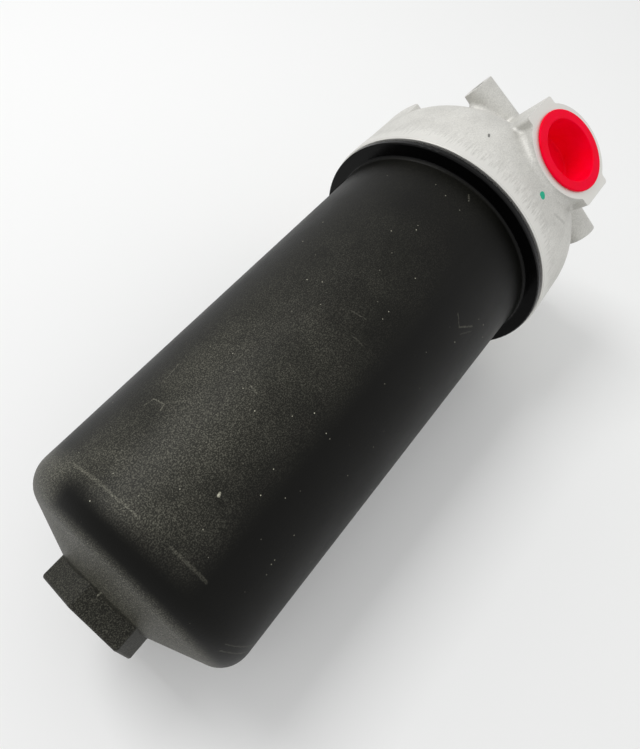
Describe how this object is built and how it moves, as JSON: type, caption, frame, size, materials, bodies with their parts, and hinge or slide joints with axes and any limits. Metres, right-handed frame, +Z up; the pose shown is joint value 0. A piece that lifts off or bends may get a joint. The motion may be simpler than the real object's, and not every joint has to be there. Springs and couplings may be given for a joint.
{
  "type": "inline suction filter",
  "caption": "Inline suction filter: aluminium head with in-line plugged ports and gauge bosses, screwed on a long black plastic bowl with a hexagon, pleated element and bypass valve inside.",
  "frame": {"origin": "centre of the flat mounting face on top of the head's bar, midway between its two tapped holes", "axes": "+Z up along the filter axis from the bowl to the head, +X along the port axis out of the outlet port beside the gauge bosses, +Y along the gauge bosses"},
  "size_m": [0.157, 0.15, 0.3591],
  "materials": {
    "cast_aluminium": "cast and blasted, with turned faces",
    "black_moulding": "fine grained matte moulding, a little dusty and scuffed",
    "red_plug": "soft satin moulding",
    "seal_rubber": "smooth",
    "zinc_sheet": "zinc plated sheet",
    "plug_steel": "zinc plated, turned",
    "spring_wire": "drawn wire",
    "filter_paper": "resin treated pleated paper"
  },
  "bodies": {
    "head_group": {"head": "cast_aluminium", "gauge_plug_front": "plug_steel", "gauge_plug_rear": "plug_steel", "element_top_cap": "zinc_sheet", "element_bottom_cap": "zinc_sheet", "element_media": "filter_paper", "element_core": "zinc_sheet", "element_guard": "zinc_sheet", "element_o_ring": "seal_rubber", "bypass_cage": "zinc_sheet", "spring_plate": "zinc_sheet"},
    "bowl_carriage": {"bowl_o_ring": "seal_rubber", "element_spring": "spring_wire"},
    "bowl_group": {"bowl": "black_moulding"},
    "outlet_plug_group": {"outlet_plug": "red_plug"},
    "inlet_plug_group": {"inlet_plug": "red_plug"},
    "bypass_valve": {"bypass_disc": "zinc_sheet", "bypass_seal": "seal_rubber", "bypass_stem": "plug_steel", "bypass_clip": "spring_wire", "bypass_spring": "spring_wire"}
  },
  "joints": [
    {"name": "bowl_travel", "type": "slide", "parent": "head_group", "child": "bowl_carriage", "axis": [0, 0, -1], "range_m": [0, 0.018], "deforming": ["element_spring"]},
    {"name": "bowl_turn", "type": "hinge", "parent": "bowl_carriage", "child": "bowl_group", "pos_m": [0, 0, -0.0853], "axis": [0, 0, -1], "range_deg": [0, 1620]},
    {"name": "outlet_plug_pull", "type": "slide", "parent": "head_group", "child": "outlet_plug_group", "axis": [1, 0, 0], "range_m": [0, 0.018]},
    {"name": "inlet_plug_pull", "type": "slide", "parent": "head_group", "child": "inlet_plug_group", "axis": [-1, 0, 0], "range_m": [0, 0.018]},
    {"name": "bypass_lift", "type": "slide", "parent": "head_group", "child": "bypass_valve", "axis": [0, 0, 1], "range_m": [0, 0.008], "stiffness_N_per_m": 2200, "springref_m": -0.0068, "deforming": ["bypass_spring"]}
  ],
  "couplings": [
    {"joint": "bowl_travel", "follows": "bowl_turn", "m_per_rad": 0.0006366}
  ]
}
